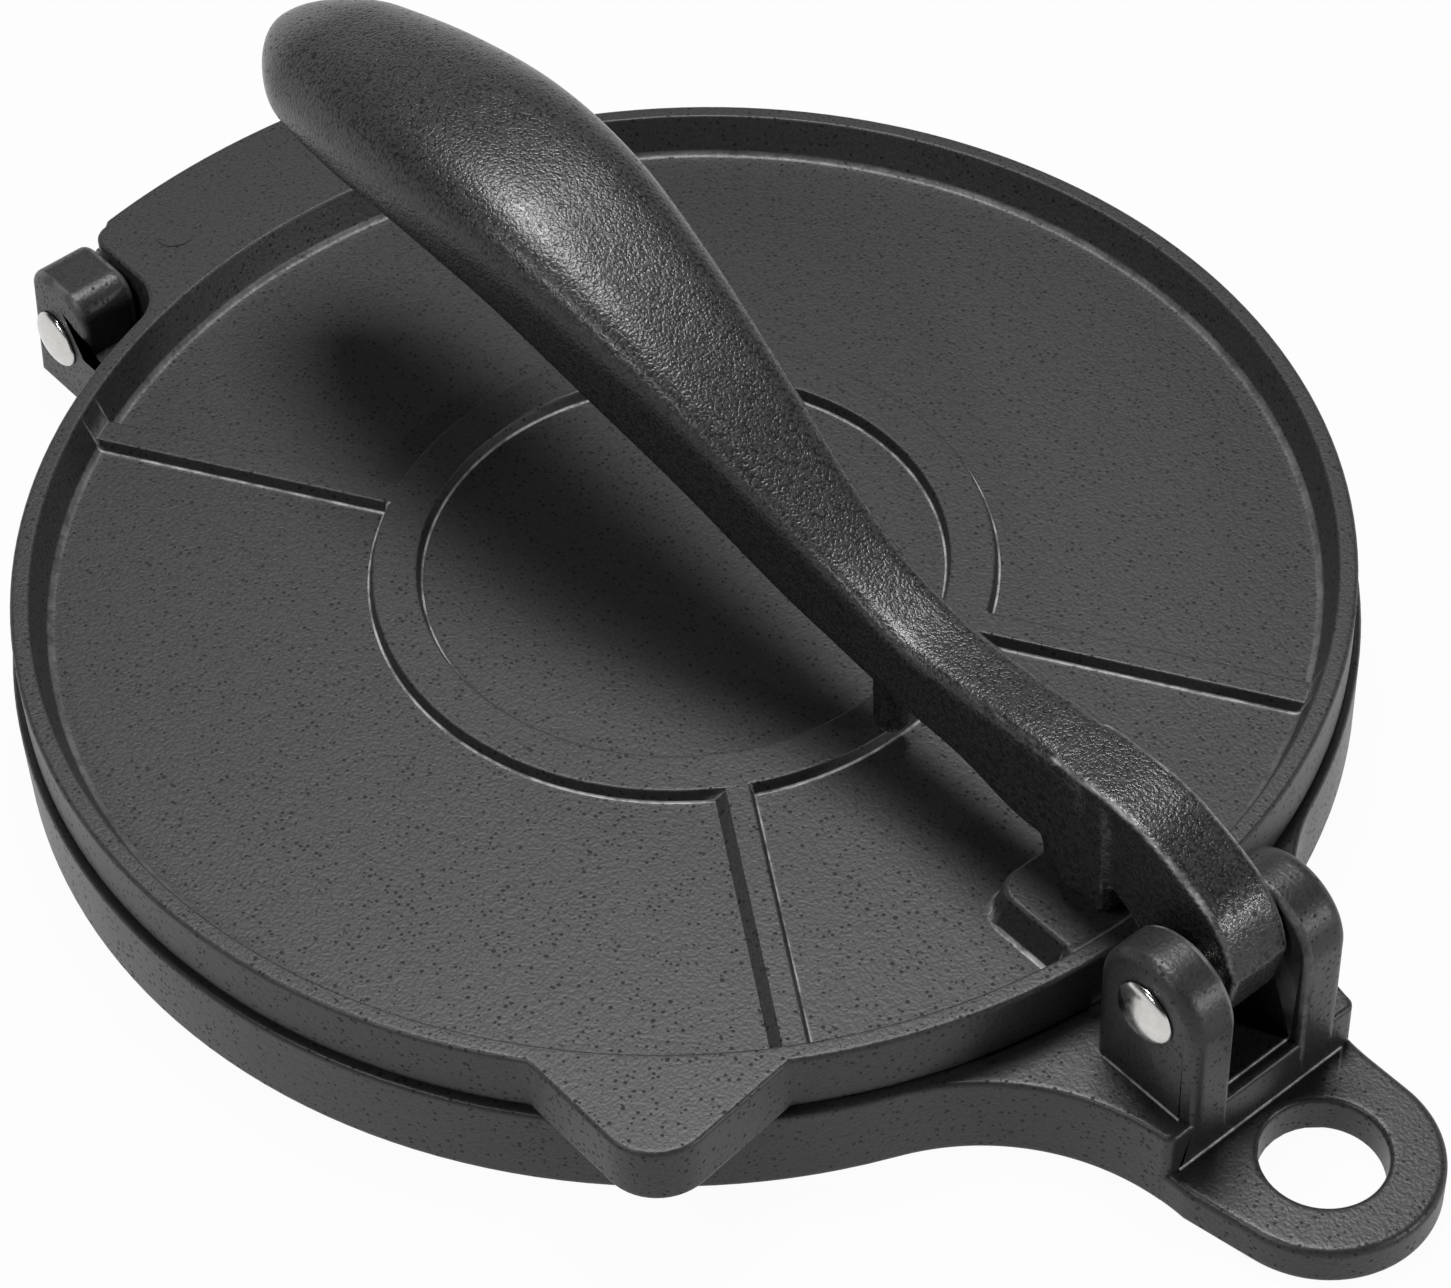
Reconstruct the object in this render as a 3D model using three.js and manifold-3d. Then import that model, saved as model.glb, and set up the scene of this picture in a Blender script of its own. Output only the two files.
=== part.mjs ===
// Hand press for flat dough rounds: a round base, a press plate hinged on it at the back,
// and a lever hinged at the front, whose cam bears on the plate.
// Millimetres, +Z up, +X towards the hanging tab, origin under the middle of the whole press.
// Below, places are written from the centre of the two discs, and the group shifts them at the end.
import * as THREE from 'three';
import * as BufferGeometryUtils from 'three/addons/utils/BufferGeometryUtils.js';
import Module from 'manifold-3d';

const wasm = await Module();
wasm.setup();

// Clearances and cuts
const runningGap = 0.3;
const overrun = 2;
const discSides = 72;
const pinSides = 20;
const barrelSides = 28;
const arcSteps = 12;
const tabSteps = 24;
const domeSteps = 5;

// Base disc
const baseRadius = 84;
const baseHeight = 12;
const baseEdge = 1;
const skirtWidth = 4.5;
const skirtDraft = 0.8;
const recessDepth = 5.5;
const underRingRadius = 36;
const underRibWidth = 4;
const underRibDepth = 3.5;

// Press plate
const plateInset = 1;
const plateGap = 0.8;
const faceInset = 2.5;
const plateStep = 0.8;
const plateHeight = 7.9;
const plateThickness = 2.6;
const rimWidth = 2.3;
const rimDraft = 1.8;
const ringInner = 33.2;
const ringOuter = 38.7;
const ribHeight = 1.6;
const ribDraft = 1.0;
const ribWidth = 3.5;
const ribAngle = THREE.MathUtils.degToRad(31);
const lipOut = 14.9;
const lipBearing = THREE.MathUtils.degToRad(-41.9);
const lipSpread = THREE.MathUtils.degToRad(84);
const lipCornerRadius = 7;
const padLead = 0.8;
const padHalfWidth = 9.4;
const padDraft = 2.4;
const padCornerDraft = 1.4;
const padDrop = 0.6;

// Rear hinge
const hingeSetback = 9;
const hingeDrop = 1.7;
const barrelRadius = 6.3;
const tongueHalfWidth = 22.4;
const tongueOut = 15.4;
const tongueCorner = 3;
const tongueFillet = 7;
const hingeEarGap = 0.8;
const hingeEarWidth = 8.6;
const hingeEarOut = 15.8;
const hingeEarLean = 2.2;
const hingeEarSetback = 1.4;
const hingeEarCrown = 10.3;
const hingeEarCorner = 6;

// Front clevis and hanging tab
const pivotSetback = 10.4;
const pivotRise = 13.6;
const clevisRadius = 7.8;
const slotHalfWidth = 5.6;
const earThickness = 7.2;
const blockHalfWidth = 15.4;
const blockOut = 18;
const slotRise = 0.4;
const flareRadius = 30;
const tabHeight = 5.5;
const tabOut = 27.1;
const tabRadius = 13.8;
const tabHoleRadius = 7.35;

// Pins
const pinRadius = 2.8;
const pinHeadRadius = 4.1;
const pinHeadHeight = 1.5;

// Lever
const tipReach = 170.9;
const gripHalfWidth = 14;
const crownRise = 41.6;
const tipRound = 13;
const tailHalfWidth = 4.4;
const camSetback = 14.4;
const camLength = 12.7;
const camHalfWidth = 5.3;
const camToe = 3.4;
const camRise = 13.5;
const pegSetback = 55.6;
const pegRadius = 2.3;
const pegGap = 1.2;

// Worked-out places
const plateRadius = baseRadius - plateInset;
const plateFaceRadius = plateRadius - faceInset;
const lipReach = plateRadius + lipOut;
const hingeX = -(baseRadius + hingeSetback);
const hingeZ = baseHeight - hingeDrop;
const tongueReach = baseRadius + tongueOut;
const hingeEarRear = baseRadius + hingeEarOut;
const hingeEarFront = baseRadius + hingeEarSetback;
const hingeEarTop = hingeZ + hingeEarCrown;
const pivotX = baseRadius + pivotSetback;
const pivotZ = baseHeight + pivotRise;
const blockFront = baseRadius + blockOut;
const slotFloor = baseHeight + slotRise;
const tabX = baseRadius + tabOut;
const camFront = pivotX - camSetback;
const camRear = camFront - camLength;
const padStart = camRear - padLead;
const pegX = pivotX - pegSetback;
const plateBottom = baseHeight + plateGap;
const rimBottom = plateBottom + plateStep;
const plateTop = plateBottom + plateHeight;
const trayFloor = plateBottom + plateThickness;
const ribTop = trayFloor + ribHeight;
const rimInner = plateRadius - rimWidth;
const trayRadius = rimInner - rimDraft;
const padTop = plateTop - padDrop;
const camBottom = padTop + runningGap;
const hingeEarInner = tongueHalfWidth + hingeEarGap;
const hingeEarOuter = hingeEarInner + hingeEarWidth;
const earOuter = slotHalfWidth + earThickness;
const clevisRear = pivotX - clevisRadius;
const tabEnd = tabX + tabRadius;
const skirtRadius = baseRadius - skirtWidth;

// Lever sections from the tip to the cam, as shares of the reach to the pivot, of the grip's
// half width and of the crown's rise over the pivot: [along, half width, top, bottom, squareness]
const leverShares = [
  [0.000, 0.560, 0.851, 0.637, 2.4],
  [0.073, 0.720, 0.889, 0.606, 2.4],
  [0.155, 0.910, 0.971, 0.627, 2.4],
  [0.243, 1.000, 1.000, 0.645, 2.4],
  [0.331, 0.960, 0.964, 0.599, 2.4],
  [0.419, 0.830, 0.847, 0.483, 2.5],
  [0.506, 0.660, 0.695, 0.346, 2.6],
  [0.594, 0.480, 0.512, 0.184, 3.0],
  [0.652, 0.385, 0.406, 0.115, 3.6],
  [0.711, 0.345, 0.341, 0.082, 5.0],
  [0.770, 0.330, 0.341, 0.063, 6.0],
  [0.828, 0.335, 0.364, 0.011, 6.0],
  [0.880, 0.340, 0.373, 0.031, 6.0],
];
const sectionMiddleShare = 0.42;
const tipStartShare = 0.02;
const sectionSides = 28;
const leverSteps = 34;
const stepGrowth = 1.35;
const tipFlatness = 0.7;

// The cam's toe, from the pad up: [share of the toe's height, share of the column's section]
const toeShares = [[0, 0.50], [0.22, 0.74], [0.9, 0.95], [1.8, 1.0]];
const camSides = 16;

// Tail outline beside the pivot, as shares of the tail's size, from the pivot: [along, up]
const tailSize = 15;
const tailShares = [
  [-1.60, 1.02], [-1.25, 1.04], [-0.95, 1.04], [-0.62, 1.00], [-0.28, 0.86], [0.04, 0.68],
  [0.24, 0.45], [0.35, 0.17], [0.35, -0.12], [0.18, -0.38], [-0.12, -0.50], [-0.40, -0.33],
  [-0.62, -0.10], [-0.95, 0.13], [-1.35, 0.20], [-1.60, 0.22],
];

function toSolid(geometry) {
  const bare = geometry.index ? geometry.clone() : geometry;
  bare.deleteAttribute('normal');
  bare.deleteAttribute('uv');
  const merged = BufferGeometryUtils.mergeVertices(bare);
  return new wasm.Manifold(new wasm.Mesh({
    numProp: 3,
    vertProperties: new Float32Array(merged.attributes.position.array),
    triVerts: new Uint32Array(merged.index.array),
  }));
}

function fromSolid(solid) {
  const mesh = solid.getMesh();
  const geometry = new THREE.BufferGeometry();
  geometry.setAttribute('position', new THREE.BufferAttribute(mesh.vertProperties, 3));
  geometry.setIndex(new THREE.BufferAttribute(mesh.triVerts, 1));
  geometry.computeVertexNormals();
  return geometry;
}

// A flat outline in plan, raised from bottom to top
function standing(outline, bottom, top, steps = arcSteps) {
  const geometry = new THREE.ExtrudeGeometry(outline, {
    depth: top - bottom, bevelEnabled: false, curveSegments: steps,
  });
  geometry.translate(0, 0, bottom);
  return toSolid(geometry);
}

// A side outline in X and Z, as wide as from one Y to another
function sideways(outline, fromY, toY, steps = arcSteps) {
  const geometry = new THREE.ExtrudeGeometry(outline, {
    depth: toY - fromY, bevelEnabled: false, curveSegments: steps,
  });
  geometry.rotateX(Math.PI / 2);
  geometry.translate(0, toY, 0);
  return toSolid(geometry);
}

// A profile of radius and height, turned about the vertical axis
function turned(profile, sides) {
  const points = profile.map(([radius, height]) => new THREE.Vector2(radius, height));
  const geometry = new THREE.LatheGeometry(points, sides);
  geometry.rotateX(Math.PI / 2);
  return toSolid(geometry);
}

// A closed skin through rings of points, each ring with as many points as the next
function lofted(rings) {
  const count = rings[0].length;
  const positions = rings.flat().flatMap((point) => point.toArray());
  const index = [];
  for (let ring = 0; ring + 1 < rings.length; ring += 1) {
    for (let corner = 0; corner < count; corner += 1) {
      const a = ring * count + corner;
      const b = ring * count + (corner + 1) % count;
      index.push(a, b, b + count, a, b + count, a + count);
    }
  }
  [[0, true], [rings.length - 1, false]].forEach(([ring, first]) => {
    const middle = positions.length / 3;
    const centre = new THREE.Vector3();
    rings[ring].forEach((point) => centre.addScaledVector(point, 1 / count));
    positions.push(...centre.toArray());
    for (let corner = 0; corner < count; corner += 1) {
      const a = ring * count + corner;
      const b = ring * count + (corner + 1) % count;
      index.push(...(first ? [middle, b, a] : [middle, a, b]));
    }
  });
  const geometry = new THREE.BufferGeometry();
  geometry.setAttribute('position', new THREE.BufferAttribute(new Float32Array(positions), 3));
  geometry.setIndex(index);
  return toSolid(geometry);
}

// A tapered bar on the tray: its foot and its top are rectangles in plan
function taperedBar(fromX, toX, halfWidth, endDraft, sideDraft, bottom, top) {
  const rings = [[bottom, sideDraft, endDraft], [top, 0, 0]].map(([z, side, end]) => [
    new THREE.Vector3(fromX - end, -halfWidth - side, z),
    new THREE.Vector3(toX, -halfWidth - side, z),
    new THREE.Vector3(toX, halfWidth + side, z),
    new THREE.Vector3(fromX - end, halfWidth + side, z),
  ]);
  return lofted(rings);
}

function turnedInPlan(solid, angle) {
  return solid.rotate([0, 0, THREE.MathUtils.radToDeg(angle)]);
}

function roundBar(radius, fromY, toY, x, z, sides = pinSides) {
  const geometry = new THREE.CylinderGeometry(radius, radius, toY - fromY, sides);
  geometry.translate(x, (fromY + toY) / 2, z);
  return toSolid(geometry);
}

// The four directions in which both castings are ribbed
const ribAngles = [ribAngle, -ribAngle, Math.PI - ribAngle, Math.PI + ribAngle];

function makeBaseDisc() {
  return turned([
    [0, 0],
    [baseRadius - baseEdge, 0],
    [baseRadius, baseEdge],
    [baseRadius, baseHeight - baseEdge],
    [baseRadius - baseEdge, baseHeight],
    [0, baseHeight],
  ], discSides);
}

// The hollow under the disc, round a ring and four ribs
function makeRecess() {
  const ringIn = underRingRadius - underRibWidth / 2;
  const ringOut = underRingRadius + underRibWidth / 2;
  const ribFoot = recessDepth - underRibDepth;
  let recess = turned([
    [0, -overrun],
    [skirtRadius, -overrun],
    [skirtRadius, 0],
    [skirtRadius - skirtDraft, recessDepth],
    [ringOut, recessDepth],
    [ringOut, ribFoot],
    [ringIn, ribFoot],
    [ringIn, recessDepth],
    [0, recessDepth],
  ], discSides);
  ribAngles.forEach((angle) => {
    const rib = taperedBar(underRingRadius, skirtRadius + overrun, underRibWidth / 2, 0, 0,
      ribFoot, recessDepth + overrun);
    recess = recess.subtract(turnedInPlan(rib, angle));
  });
  return recess;
}

// The neck that flows out of the disc into the clevis block, with a hollow arc on each side
function makeFlare() {
  const arcY = blockHalfWidth + flareRadius;
  const arcX = Math.sqrt((baseRadius + flareRadius) ** 2 - arcY ** 2);
  const touch = Math.atan2(arcY, arcX);
  const discX = baseRadius * Math.cos(touch);
  const outline = new THREE.Shape();
  outline.moveTo(discX - skirtWidth, 0);
  outline.lineTo(discX, -baseRadius * Math.sin(touch));
  outline.absarc(arcX, -arcY, flareRadius, Math.PI - touch, Math.PI / 2, true);
  outline.lineTo(Math.max(blockFront, arcX), -blockHalfWidth);
  outline.lineTo(Math.max(blockFront, arcX), blockHalfWidth);
  outline.absarc(arcX, arcY, flareRadius, -Math.PI / 2, touch - Math.PI, true);
  const flare = standing(outline, 0, baseHeight);
  const front = standing(rectangle(blockFront, blockFront + tabRadius, blockHalfWidth + overrun),
    tabHeight, baseHeight + overrun);
  return flare.subtract(front);
}

function rectangle(fromX, toX, halfWidth) {
  const outline = new THREE.Shape();
  outline.moveTo(fromX, -halfWidth);
  outline.lineTo(toX, -halfWidth);
  outline.lineTo(toX, halfWidth);
  outline.lineTo(fromX, halfWidth);
  return outline;
}

function makeTab() {
  const outline = new THREE.Shape();
  outline.moveTo(clevisRear, -tabRadius);
  outline.lineTo(tabX, -tabRadius);
  outline.absarc(tabX, 0, tabRadius, -Math.PI / 2, Math.PI / 2, false);
  outline.lineTo(clevisRear, tabRadius);
  const hole = new THREE.Path();
  hole.absarc(tabX, 0, tabHoleRadius, 0, Math.PI * 2, true);
  outline.holes.push(hole);
  return standing(outline, 0, tabHeight, tabSteps);
}

// One ear of the front clevis, from the top of the block to its round head
function clevisOutline() {
  const outline = new THREE.Shape();
  outline.moveTo(pivotX - clevisRadius, baseHeight - overrun);
  outline.lineTo(pivotX + clevisRadius, baseHeight - overrun);
  outline.lineTo(pivotX + clevisRadius, pivotZ);
  outline.absarc(pivotX, pivotZ, clevisRadius, 0, Math.PI, false);
  return outline;
}

// One ear of the rear hinge: it leans back a little and its top corners are round
function hingeEarOutline() {
  const front = -hingeEarFront;
  const rear = -hingeEarRear;
  const rearTop = rear + hingeEarLean;
  const arcZ = hingeEarTop - hingeEarCorner;
  const outline = new THREE.Shape();
  outline.moveTo(rear, 0);
  outline.lineTo(-skirtRadius + hingeEarCorner, 0);
  outline.lineTo(-skirtRadius + hingeEarCorner, baseHeight);
  outline.lineTo(front, baseHeight);
  outline.lineTo(front, arcZ);
  outline.absarc(front - hingeEarCorner, arcZ, hingeEarCorner, 0, Math.PI / 2, false);
  outline.absarc(rearTop + hingeEarCorner, arcZ, hingeEarCorner, Math.PI / 2, Math.PI, false);
  return outline;
}

function makeBase() {
  let base = makeBaseDisc();
  base = base.add(makeFlare());
  base = base.add(makeTab());
  const slot = sideways(rectangleXZ(clevisRear - overrun, blockFront + overrun, slotFloor,
    pivotZ + clevisRadius + overrun), -slotHalfWidth, slotHalfWidth);
  base = base.add(sideways(clevisOutline(), -earOuter, earOuter).subtract(slot));
  [-1, 1].forEach((side) => {
    const near = side * hingeEarInner;
    const far = side * hingeEarOuter;
    const ear = sideways(hingeEarOutline(), Math.min(near, far), Math.max(near, far));
    base = base.add(ear);
  });
  base = base.subtract(makeRecess());
  const hole = pinRadius + runningGap;
  base = base.subtract(roundBar(hole, -earOuter - overrun, earOuter + overrun, pivotX, pivotZ));
  base = base.subtract(roundBar(hole, -hingeEarOuter - overrun, -hingeEarInner + overrun, hingeX, hingeZ));
  base = base.subtract(roundBar(hole, hingeEarInner - overrun, hingeEarOuter + overrun, hingeX, hingeZ));
  return base;
}

function rectangleXZ(fromX, toX, fromZ, toZ) {
  const outline = new THREE.Shape();
  outline.moveTo(fromX, fromZ);
  outline.lineTo(toX, fromZ);
  outline.lineTo(toX, toZ);
  outline.lineTo(fromX, toZ);
  return outline;
}

function makePlateDisc() {
  let disc = turned([
    [0, plateBottom],
    [plateFaceRadius, plateBottom],
    [plateFaceRadius + plateStep, rimBottom],
    [plateRadius, rimBottom],
    [plateRadius, plateTop],
    [rimInner, plateTop],
    [trayRadius, trayFloor],
    [ringOuter + ribDraft, trayFloor],
    [ringOuter, ribTop],
    [ringInner, ribTop],
    [ringInner - ribDraft, trayFloor],
    [0, trayFloor],
  ], discSides);
  const middle = (ringInner + ringOuter) / 2;
  ribAngles.forEach((angle) => {
    const rib = taperedBar(middle, rimInner, ribWidth / 2, 0, ribDraft, trayFloor, ribTop);
    const root = taperedBar(middle, rimInner, ribWidth / 2, 0, ribDraft,
      trayFloor - plateThickness / 2, trayFloor);
    disc = disc.add(turnedInPlan(rib.add(root), angle));
  });
  return disc;
}

// The pad that the cam bears on, from the tray's floor to just under the rim's top
function makePad() {
  return taperedBar(padStart, rimInner, padHalfWidth, padCornerDraft, padDraft,
    trayFloor - plateThickness / 2, padTop);
}

// The thumb lip: a corner with a round tip that stands out of the rim
function makeLip() {
  const corner = new THREE.Vector2(lipReach * Math.cos(lipBearing), lipReach * Math.sin(lipBearing));
  const half = lipSpread / 2;
  const back = lipBearing + Math.PI;
  const side = lipReach - plateRadius + lipCornerRadius * 3;
  const arcBack = lipCornerRadius / Math.sin(half);
  const arcX = corner.x + arcBack * Math.cos(back);
  const arcY = corner.y + arcBack * Math.sin(back);
  const from = back + half;
  const to = back - half;
  const outline = new THREE.Shape();
  outline.moveTo(corner.x + side * Math.cos(to), corner.y + side * Math.sin(to));
  outline.lineTo(corner.x + side * Math.cos(from), corner.y + side * Math.sin(from));
  outline.absarc(arcX, arcY, lipCornerRadius, from + Math.PI / 2, to - Math.PI / 2 + Math.PI * 2, false);
  return standing(outline, rimBottom, plateTop);
}

// The tongue over the barrel, with a round rear edge and a fillet into the rim on each side
function makeTongue() {
  const rearAngle = Math.asin(tongueHalfWidth / tongueReach);
  const rearX = tongueReach * Math.cos(rearAngle);
  const filletX = Math.sqrt((plateRadius + tongueFillet) ** 2 - (tongueHalfWidth + tongueFillet) ** 2);
  const filletY = tongueHalfWidth + tongueFillet;
  const touch = Math.atan2(filletY, filletX);
  const outline = new THREE.Shape();
  outline.moveTo(-rimInner * Math.cos(touch), rimInner * Math.sin(touch));
  outline.lineTo(-plateRadius * Math.cos(touch), plateRadius * Math.sin(touch));
  outline.absarc(-filletX, filletY, tongueFillet, -touch, -Math.PI / 2, true);
  outline.lineTo(-rearX + tongueCorner, tongueHalfWidth);
  outline.quadraticCurveTo(-rearX, tongueHalfWidth, -rearX - tongueCorner / tongueReach,
    tongueHalfWidth - tongueCorner);
  outline.absarc(0, 0, tongueReach, Math.PI - rearAngle + tongueCorner / tongueReach,
    Math.PI + rearAngle - tongueCorner / tongueReach, false);
  outline.quadraticCurveTo(-rearX, -tongueHalfWidth, -rearX + tongueCorner, -tongueHalfWidth);
  outline.lineTo(-filletX, -tongueHalfWidth);
  outline.absarc(-filletX, -filletY, tongueFillet, Math.PI / 2, touch, true);
  outline.lineTo(-rimInner * Math.cos(touch), -rimInner * Math.sin(touch));
  return standing(outline, rimBottom, plateTop);
}

// The barrel under the tongue and the web that joins the two
function makeBarrel() {
  const barrel = roundBar(barrelRadius, -tongueHalfWidth, tongueHalfWidth, hingeX, hingeZ, barrelSides);
  const web = sideways(rectangleXZ(hingeX - barrelRadius, hingeX + barrelRadius, hingeZ,
    (rimBottom + plateTop) / 2), -tongueHalfWidth, tongueHalfWidth);
  return barrel.add(web);
}

function makePlate() {
  const tray = turned([
    [0, trayFloor],
    [trayRadius, trayFloor],
    [rimInner, plateTop],
    [rimInner, plateTop + overrun],
    [0, plateTop + overrun],
  ], discSides);
  let plate = makeTongue().subtract(tray).add(makeLip().subtract(tray));
  plate = plate.add(makePlateDisc());
  plate = plate.add(makePad());
  plate = plate.add(makeBarrel());
  const hole = roundBar(pinRadius + runningGap, -tongueHalfWidth - overrun,
    tongueHalfWidth + overrun, hingeX, hingeZ);
  return plate.subtract(hole);
}

// A value between the stations of a table, by a smooth curve through its neighbours
function betweenShares(table, column, along) {
  let at = 0;
  while (at + 2 < table.length && table[at + 1][0] < along) at += 1;
  const slope = (row) => {
    const before = table[Math.max(row - 1, 0)];
    const after = table[Math.min(row + 1, table.length - 1)];
    return (after[column] - before[column]) / (after[0] - before[0]);
  };
  const span = table[at + 1][0] - table[at][0];
  const t = (along - table[at][0]) / span;
  const t2 = t * t;
  const t3 = t2 * t;
  return (2 * t3 - 3 * t2 + 1) * table[at][column] + (t3 - 2 * t2 + t) * span * slope(at)
    + (3 * t2 - 2 * t3) * table[at + 1][column] + (t3 - t2) * span * slope(at + 1);
}

// The lever's grip and neck, as rounded sections one behind the other
function makeGrip() {
  const end = leverShares[leverShares.length - 1][0];
  const rings = [];
  for (let step = 0; step <= leverSteps; step += 1) {
    const along = end * (step / leverSteps) ** stepGrowth;
    const fromTip = along * tipReach;
    const capped = Math.min(Math.max(fromTip / tipRound, tipStartShare), 1);
    const cap = Math.sqrt(1 - (1 - capped) ** 2);
    const width = betweenShares(leverShares, 1, along) * gripHalfWidth * cap;
    const top = pivotZ + betweenShares(leverShares, 2, along) * crownRise;
    const bottom = pivotZ + betweenShares(leverShares, 3, along) * crownRise;
    const power = betweenShares(leverShares, 4, along);
    const middle = bottom + (top - bottom) * sectionMiddleShare;
    const ring = [];
    for (let corner = 0; corner < sectionSides; corner += 1) {
      const angle = (corner / sectionSides) * Math.PI * 2;
      const across = Math.cos(angle);
      const up = Math.sin(angle);
      const rise = (up > 0 ? top - middle : middle - bottom) * cap ** tipFlatness;
      ring.push(new THREE.Vector3(
        pivotX - tipReach + fromTip,
        width * Math.sign(across) * Math.abs(across) ** (2 / power),
        middle + rise * Math.sign(up) * Math.abs(up) ** (2 / power),
      ));
    }
    rings.push(ring);
  }
  return lofted(rings);
}

// The tail with its round knuckle between the ears
function makeTail() {
  const outline = new THREE.Shape();
  tailShares.forEach(([along, up], number) => {
    const x = pivotX + along * tailSize;
    const z = pivotZ + up * tailSize;
    if (number === 0) outline.moveTo(x, z);
    else outline.lineTo(x, z);
  });
  return sideways(outline, -tailHalfWidth, tailHalfWidth);
}

// The cam: a blunt column under the lever that ends in a rounded toe on the pad
function makeCam() {
  const centre = (camFront + camRear) / 2;
  const halfLength = (camFront - camRear) / 2;
  const camTop = pivotZ + camRise;
  const levels = toeShares.map(([rise, share]) => [camBottom + camToe * rise, share]);
  levels.push([camTop, 1]);
  const rings = levels.map(([z, share]) => {
    const ring = [];
    for (let corner = 0; corner < camSides; corner += 1) {
      const angle = ((corner + 0.5) / camSides) * Math.PI * 2;
      const across = Math.cos(angle);
      const side = Math.sin(angle);
      ring.push(new THREE.Vector3(
        centre + halfLength * share * Math.sign(across) * Math.sqrt(Math.abs(across)),
        camHalfWidth * share * Math.sign(side) * Math.sqrt(Math.abs(side)),
        z,
      ));
    }
    return ring;
  });
  return lofted(rings);
}

// The short round foot under the neck, just clear of the plate's ring
function makePeg() {
  const bottom = ribTop + pegGap;
  const along = (pegX - pivotX + tipReach) / tipReach;
  const underside = pivotZ + betweenShares(leverShares, 3, along) * crownRise;
  return turned([
    [0, bottom],
    [pegRadius, bottom],
    [pegRadius, underside + overrun],
    [0, underside + overrun],
  ], pinSides).translate([pegX, 0, 0]);
}

function makeHandle() {
  const handle = makeGrip().add(makeCam()).add(makeTail()).add(makePeg());
  const hole = roundBar(pinRadius + runningGap, -tailHalfWidth - overrun,
    tailHalfWidth + overrun, pivotX, pivotZ);
  return handle.subtract(hole);
}

// A pin with a domed head at each end, seated on the outer faces of its ears
function makePin(halfLength) {
  const seat = halfLength + runningGap;
  const dome = [];
  for (let step = 0; step <= domeSteps; step += 1) {
    const angle = (step / domeSteps) * (Math.PI / 2);
    dome.push([pinHeadRadius * Math.cos(angle), seat + pinHeadHeight * Math.sin(angle)]);
  }
  dome[domeSteps][0] = 0;
  const upper = [[pinRadius, seat], ...dome];
  const lower = upper.map(([radius, height]) => [radius, -height]).reverse();
  const solid = turned([...lower, ...upper], pinSides);
  return solid.rotate([90, 0, 0]);
}

function part(name, solid, finish) {
  const material = new THREE.MeshStandardMaterial(finish);
  const mesh = new THREE.Mesh(fromSolid(solid), material);
  mesh.name = name;
  return mesh;
}

const coated = { color: 0x2f3032, roughness: 0.5, metalness: 0.1 };
const nickel = { color: 0xc9cac8, roughness: 0.2, metalness: 1.0 };

const handlePin = part('handle_pin', makePin(earOuter), nickel);
handlePin.position.set(pivotX, 0, pivotZ);
const hingePin = part('hinge_pin', makePin(hingeEarOuter), nickel);
hingePin.position.set(hingeX, 0, hingeZ);

const group = new THREE.Group();
group.add(part('base', makeBase(), coated));
group.add(part('press_plate', makePlate(), coated));
group.add(part('handle', makeHandle(), coated));
group.add(handlePin, hingePin);
group.position.x = (hingeEarRear - tabEnd) / 2;

export default group;
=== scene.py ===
"""Looks of a small hand press for flat dough rounds: die-cast aluminium, powder coated, with nickel pins."""
import math

import bpy
import numpy as np
from mathutils import Matrix, Quaternion, Vector


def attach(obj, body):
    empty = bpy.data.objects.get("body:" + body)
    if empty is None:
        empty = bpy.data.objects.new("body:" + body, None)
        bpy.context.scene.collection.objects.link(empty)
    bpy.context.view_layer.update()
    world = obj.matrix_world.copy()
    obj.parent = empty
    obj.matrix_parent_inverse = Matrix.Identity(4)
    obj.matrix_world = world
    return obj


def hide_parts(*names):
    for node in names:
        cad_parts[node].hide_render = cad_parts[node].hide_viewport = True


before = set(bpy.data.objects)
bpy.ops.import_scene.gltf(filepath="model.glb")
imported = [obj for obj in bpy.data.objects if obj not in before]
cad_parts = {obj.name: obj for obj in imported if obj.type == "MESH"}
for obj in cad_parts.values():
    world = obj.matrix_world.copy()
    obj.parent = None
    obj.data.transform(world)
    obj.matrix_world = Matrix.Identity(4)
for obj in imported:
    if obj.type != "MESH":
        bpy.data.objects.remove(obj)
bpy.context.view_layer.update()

# Lengths are in millimetres from the middle of the two discs, and turn into metres when a mesh is made.
MM = 0.001
disc_centre = -12.55

# Sizes of the castings
base_radius = 84.0
base_height = 12.0
base_round = 0.6
base_foot_round = 0.7
skirt_radius = 79.5
skirt_draft = 0.8
recess_depth = 5.5
under_ring = (34.0, 38.0)
under_rib_half = 2.0
under_rib_foot = 2.0
under_slope = 0.4

plate_radius = 83.0
plate_bottom = 12.6
plate_face_radius = 80.5
rim_bottom = 12.4
plate_top = 20.7
tray_floor = 15.4
rim_inner = 80.7
tray_radius = 78.9
ring_inner = 33.2
ring_outer = 38.7
ring_draft = 0.5
rib_top = 17.0
rib_half = 1.75
rib_angle = math.radians(31)
rib_fillet = 0.35
rib_round = 0.25
tray_fillet = 1.1
rim_round = 0.55
rim_foot_round = 0.5

pad_start = 66.5
pad_half = 9.4
pad_top = 20.1
pad_slope = 1.3
pad_corner = 3.0
pad_round = 0.6

lip_reach = 97.9
lip_bearing = math.radians(-41.9)
lip_spread = math.radians(84)
lip_corner = 7.0

tongue_half = 22.4
tongue_reach = 99.4
tongue_corner = 3.0
tongue_fillet = 7.0

ejector_place = (-89.1, -13.8)
ejector_radius = 2.6
ejector_bearing = -39.0
ejector_spread = 176.0
ejector_step = 0.34
ejector_rise = 0.12

hinge_x = -93.0
hinge_z = 10.3
barrel_radius = 6.3
web_rear = 3.4
web_top = 18.0
barrel_round = 0.7
hinge_ear_inner = 23.2
hinge_ear_outer = 31.8
hinge_ear_front = -85.4
hinge_ear_rear = -99.8
hinge_ear_top = 20.6
hinge_ear_lean = 2.2
hinge_ear_corner = 3.6
hinge_ear_round = 1.1

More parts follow.
